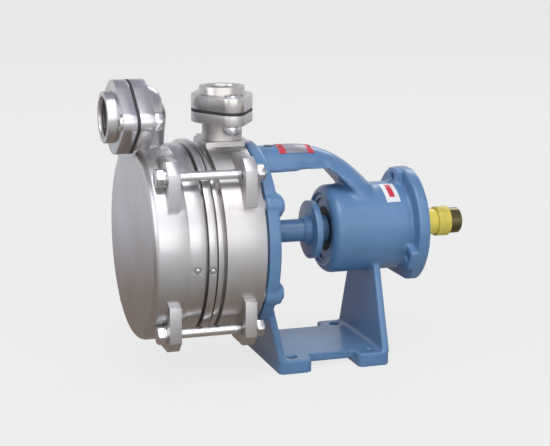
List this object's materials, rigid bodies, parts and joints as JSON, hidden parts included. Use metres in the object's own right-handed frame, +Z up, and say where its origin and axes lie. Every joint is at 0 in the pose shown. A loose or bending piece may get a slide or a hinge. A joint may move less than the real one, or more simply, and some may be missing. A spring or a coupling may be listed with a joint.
{
  "type": "self-priming side-channel pump",
  "caption": "Self-priming side-channel pump with oval-flanged suction and discharge ports, tie-bolted ring casing, cast bearing bracket and bare keyed shaft end.",
  "frame": {"origin": "centre of the rectangle of foot holes, on the floor under the shaft", "axes": "+X along the shaft from the suction cover to the bare shaft end, +Z up, +Y to the far side of the picture"},
  "size_m": [0.3948, 0.2055, 0.303],
  "materials": {
    "blue_paint": "semi-gloss machine enamel on a casting",
    "cast_steel": "turned and fine-cast stainless steel, satin",
    "machined_steel": "turned steel, satin",
    "zinc": "bright zinc plate",
    "shaft_steel": "ground steel",
    "dark_steel": "blackened steel",
    "bearing_steel": "polished bearing steel",
    "brass": "machined brass",
    "black_rubber": "matt rubber",
    "carbon": "lapped carbon",
    "ceramic": "lapped ceramic",
    "yellow_plastic": "soft moulded plastic"
  },
  "bodies": {
    "stator": {"arm_plug": "dark_steel", "bearing_bracket": "blue_paint", "bracket_bolts": "zinc", "casing_seal_rings": "black_rubber", "centre_ring": "machined_steel", "discharge_casing": "cast_steel", "discharge_companion_flange": "cast_steel", "discharge_flange_bolts": "zinc", "discharge_flange_nuts": "zinc", "discharge_gasket": "black_rubber", "drain_plug": "zinc", "front_bearing_cover": "dark_steel", "front_bearing_outer_ring": "bearing_steel", "front_cover_circlip": "dark_steel", "front_lip_seal": "black_rubber", "inlet_ring": "machined_steel", "outlet_ring": "machined_steel", "rear_bearing_cover": "blue_paint", "rear_bearing_outer_ring": "bearing_steel", "rear_cover_screws": "zinc", "rear_lip_seal": "black_rubber", "ring_plugs": "zinc", "seal_cover": "machined_steel", "seal_cover_screws": "zinc", "seal_stationary_ring": "ceramic", "suction_companion_flange": "cast_steel", "suction_cover": "cast_steel", "suction_flange_bolts": "zinc", "suction_flange_nuts": "zinc", "suction_gasket": "black_rubber", "tie_bolts": "zinc", "tie_nuts": "zinc", "tie_washers": "zinc"},
    "rotor": {"shaft": "shaft_steel", "slinger_disc": "blue_paint", "first_impeller": "brass", "second_impeller": "brass", "impeller_key": "shaft_steel", "impeller_washer": "zinc", "impeller_nut": "zinc", "seal_bellows": "black_rubber", "seal_rotating_ring": "carbon", "shaft_circlips": "dark_steel", "coupling_key": "dark_steel", "shaft_protector": "yellow_plastic", "front_bearing_inner_ring": "bearing_steel", "rear_bearing_inner_ring": "bearing_steel"},
    "front_cage": {"front_bearing_balls": "bearing_steel", "front_bearing_cage": "brass"},
    "rear_cage": {"rear_bearing_balls": "bearing_steel", "rear_bearing_cage": "brass"}
  },
  "joints": [
    {"name": "shaft_spin", "type": "hinge", "parent": "stator", "child": "rotor", "pos_m": [0, 0, 0.137], "axis": [1, 0, 0], "continuous": true},
    {"name": "front_cage_spin", "type": "hinge", "parent": "stator", "child": "front_cage", "pos_m": [0.0275, 0, 0.137], "axis": [1, 0, 0], "continuous": true},
    {"name": "rear_cage_spin", "type": "hinge", "parent": "stator", "child": "rear_cage", "pos_m": [0.0875, 0, 0.137], "axis": [1, 0, 0], "continuous": true}
  ],
  "couplings": [
    {"joint": "front_cage_spin", "follows": "shaft_spin", "ratio": 0.38},
    {"joint": "rear_cage_spin", "follows": "shaft_spin", "ratio": 0.38}
  ]
}
